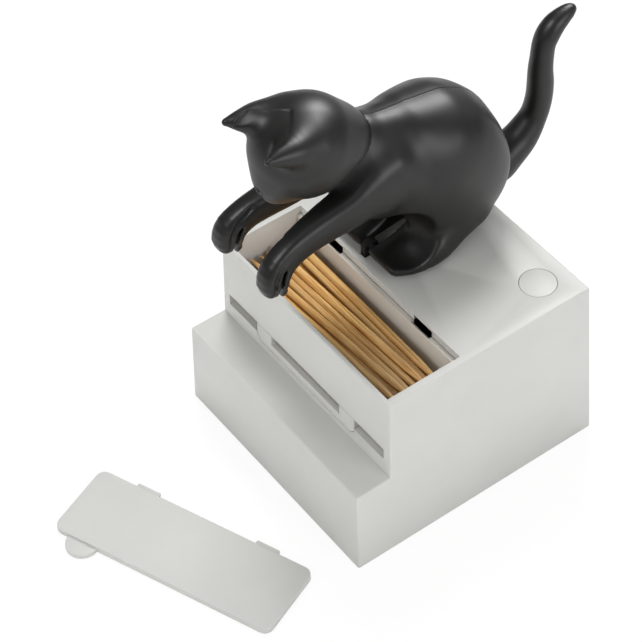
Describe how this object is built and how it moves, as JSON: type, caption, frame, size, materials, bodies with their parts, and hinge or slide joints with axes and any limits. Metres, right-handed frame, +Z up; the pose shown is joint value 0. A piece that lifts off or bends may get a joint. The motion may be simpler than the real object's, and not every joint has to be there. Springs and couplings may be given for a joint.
{
  "type": "toothpick dispenser",
  "caption": "Toothpick box with a sloped bin and a loose lid; pressing the round key makes the cat on top pitch forward and bring its paws down to the front windows.",
  "frame": {"origin": "centre of the flat underside of the base", "axes": "+Z up, -Y towards the stepped front with the windows and the cat's head, +X to the right seen from the front"},
  "size_m": [0.0775, 0.1643, 0.1167],
  "materials": {
    "grey_shell": "fine satin",
    "grey_lid": "fine satin",
    "grey_liner": "fine satin",
    "grey_base": "matt",
    "black_cat": "satin",
    "black_bracket": "matt",
    "white_lever": "matt",
    "steel": "bright",
    "birch": "plain sanded"
  },
  "bodies": {
    "box": {"housing": "grey_shell", "hopper_liner": "grey_liner", "base_plate": "grey_base", "base_screw_1": "steel", "base_screw_2": "steel", "base_screw_3": "steel", "base_screw_4": "steel", "spring_cup": "grey_base", "button_spring": "steel", "rocker_axle": "steel", "pivot_bracket": "black_bracket", "bracket_screw_1": "steel", "bracket_screw_2": "steel", "toothpick_01": "birch", "toothpick_02": "birch", "toothpick_03": "birch", "toothpick_04": "birch", "toothpick_05": "birch", "toothpick_06": "birch", "toothpick_07": "birch", "toothpick_08": "birch", "toothpick_09": "birch", "toothpick_10": "birch", "toothpick_11": "birch", "toothpick_12": "birch", "toothpick_13": "birch", "toothpick_14": "birch", "toothpick_15": "birch", "toothpick_16": "birch", "toothpick_17": "birch", "toothpick_18": "birch", "toothpick_19": "birch"},
    "gate": {"front_gate": "grey_shell"},
    "lid": {"bin_lid": "grey_lid"},
    "button": {"push_button": "grey_shell"},
    "lever": {"rocker_lever": "white_lever"},
    "rod": {"lift_rod": "steel"},
    "cat": {"cat_left_half": "black_cat", "cat_right_half": "black_cat", "cat_head": "black_cat", "cat_tail": "black_cat", "cat_pivot_pin": "steel"}
  },
  "joints": [
    {"name": "cat_pounce", "type": "hinge", "parent": "box", "child": "cat", "pos_m": [-0.0091, 0.0014, 0.0564], "axis": [1, 0, 0], "range_deg": [0, 50]},
    {"name": "button_press", "type": "slide", "parent": "box", "child": "button", "axis": [0, 0, -1], "range_m": [0, 0.0053], "stiffness_N_per_m": 150, "springref_m": -0.003, "deforming": ["button_spring"]},
    {"name": "rocker_turn", "type": "hinge", "parent": "box", "child": "lever", "pos_m": [0.0129, 0.01825, 0.0205], "axis": [-0.5971, 0.8021, 0], "range_deg": [0, 17.9]},
    {"name": "lift_slide", "type": "slide", "parent": "box", "child": "rod", "axis": [0, 0, 1], "range_m": [0, 0.0053]},
    {"name": "gate_flex", "type": "hinge", "parent": "box", "child": "gate", "pos_m": [0, -0.02684, 0.03565], "axis": [-1, 0, 0], "range_deg": [0, 15], "stiffness_Nm_per_rad": 0.004, "springref_deg": -5.73},
    {"name": "lid_lift", "type": "slide", "parent": "box", "child": "lid", "axis": [0, 0, 1], "range_m": [0, 0.03]}
  ],
  "couplings": [
    {"joint": "button_press", "follows": "cat_pounce", "m_per_rad": 0.006},
    {"joint": "rocker_turn", "follows": "cat_pounce", "ratio": 0.35651},
    {"joint": "lift_slide", "follows": "cat_pounce", "m_per_rad": 0.006}
  ]
}
